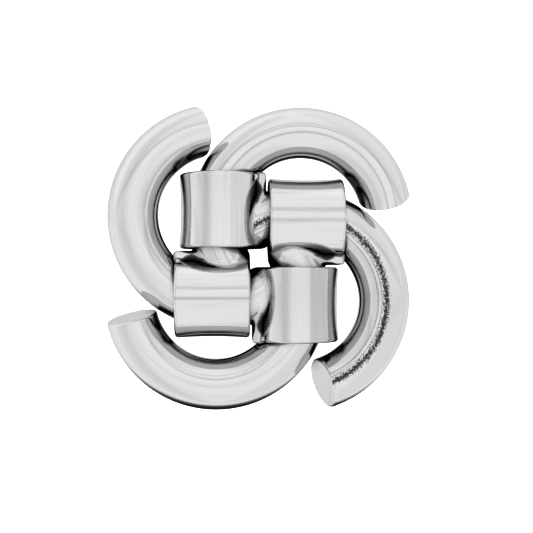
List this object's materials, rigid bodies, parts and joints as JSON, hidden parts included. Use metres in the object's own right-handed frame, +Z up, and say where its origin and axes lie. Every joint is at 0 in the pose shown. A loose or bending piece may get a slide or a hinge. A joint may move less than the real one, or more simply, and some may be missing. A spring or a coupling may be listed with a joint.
{
  "type": "metal ring disentanglement puzzle",
  "caption": "Pinwheel of interlocked cast metal links, each a round-bar half ring ending in a bored barrel that the next link's ring runs through.",
  "frame": {"origin": "on the surface that the puzzle lies on, below the middle of the pinwheel", "axes": "+Z up, square to the plane of the rings; +X and +Y along the barrels' axes"},
  "size_m": [0.0475, 0.0474, 0.0129],
  "materials": {
    "polished_metal": "polished, with a faint hand-polished grain"
  },
  "bodies": {
    "link_1": {"link_1": "polished_metal"},
    "link_2": {"link_2": "polished_metal"},
    "link_3": {"link_3": "polished_metal"},
    "link_4": {"link_4": "polished_metal"}
  },
  "joints": [
    {"name": "ring_1_slide", "type": "hinge", "parent": "link_1", "child": "link_2", "pos_m": [0.00662, 0.00612, 0.00643], "axis": [0, 0, 1], "range_deg": [-0.9, 0.9]},
    {"name": "ring_2_slide", "type": "hinge", "parent": "link_2", "child": "link_3", "pos_m": [0.00612, -0.00662, 0.00643], "axis": [0, 0, 1], "range_deg": [-0.9, 0.9]},
    {"name": "ring_3_slide", "type": "hinge", "parent": "link_3", "child": "link_4", "pos_m": [-0.00662, -0.00612, 0.00643], "axis": [0, 0, 1], "range_deg": [-0.9, 0.9]}
  ],
  "couplings": [
    {"joint": "ring_2_slide", "follows": "ring_1_slide", "ratio": -1},
    {"joint": "ring_3_slide", "follows": "ring_1_slide", "ratio": 1}
  ]
}
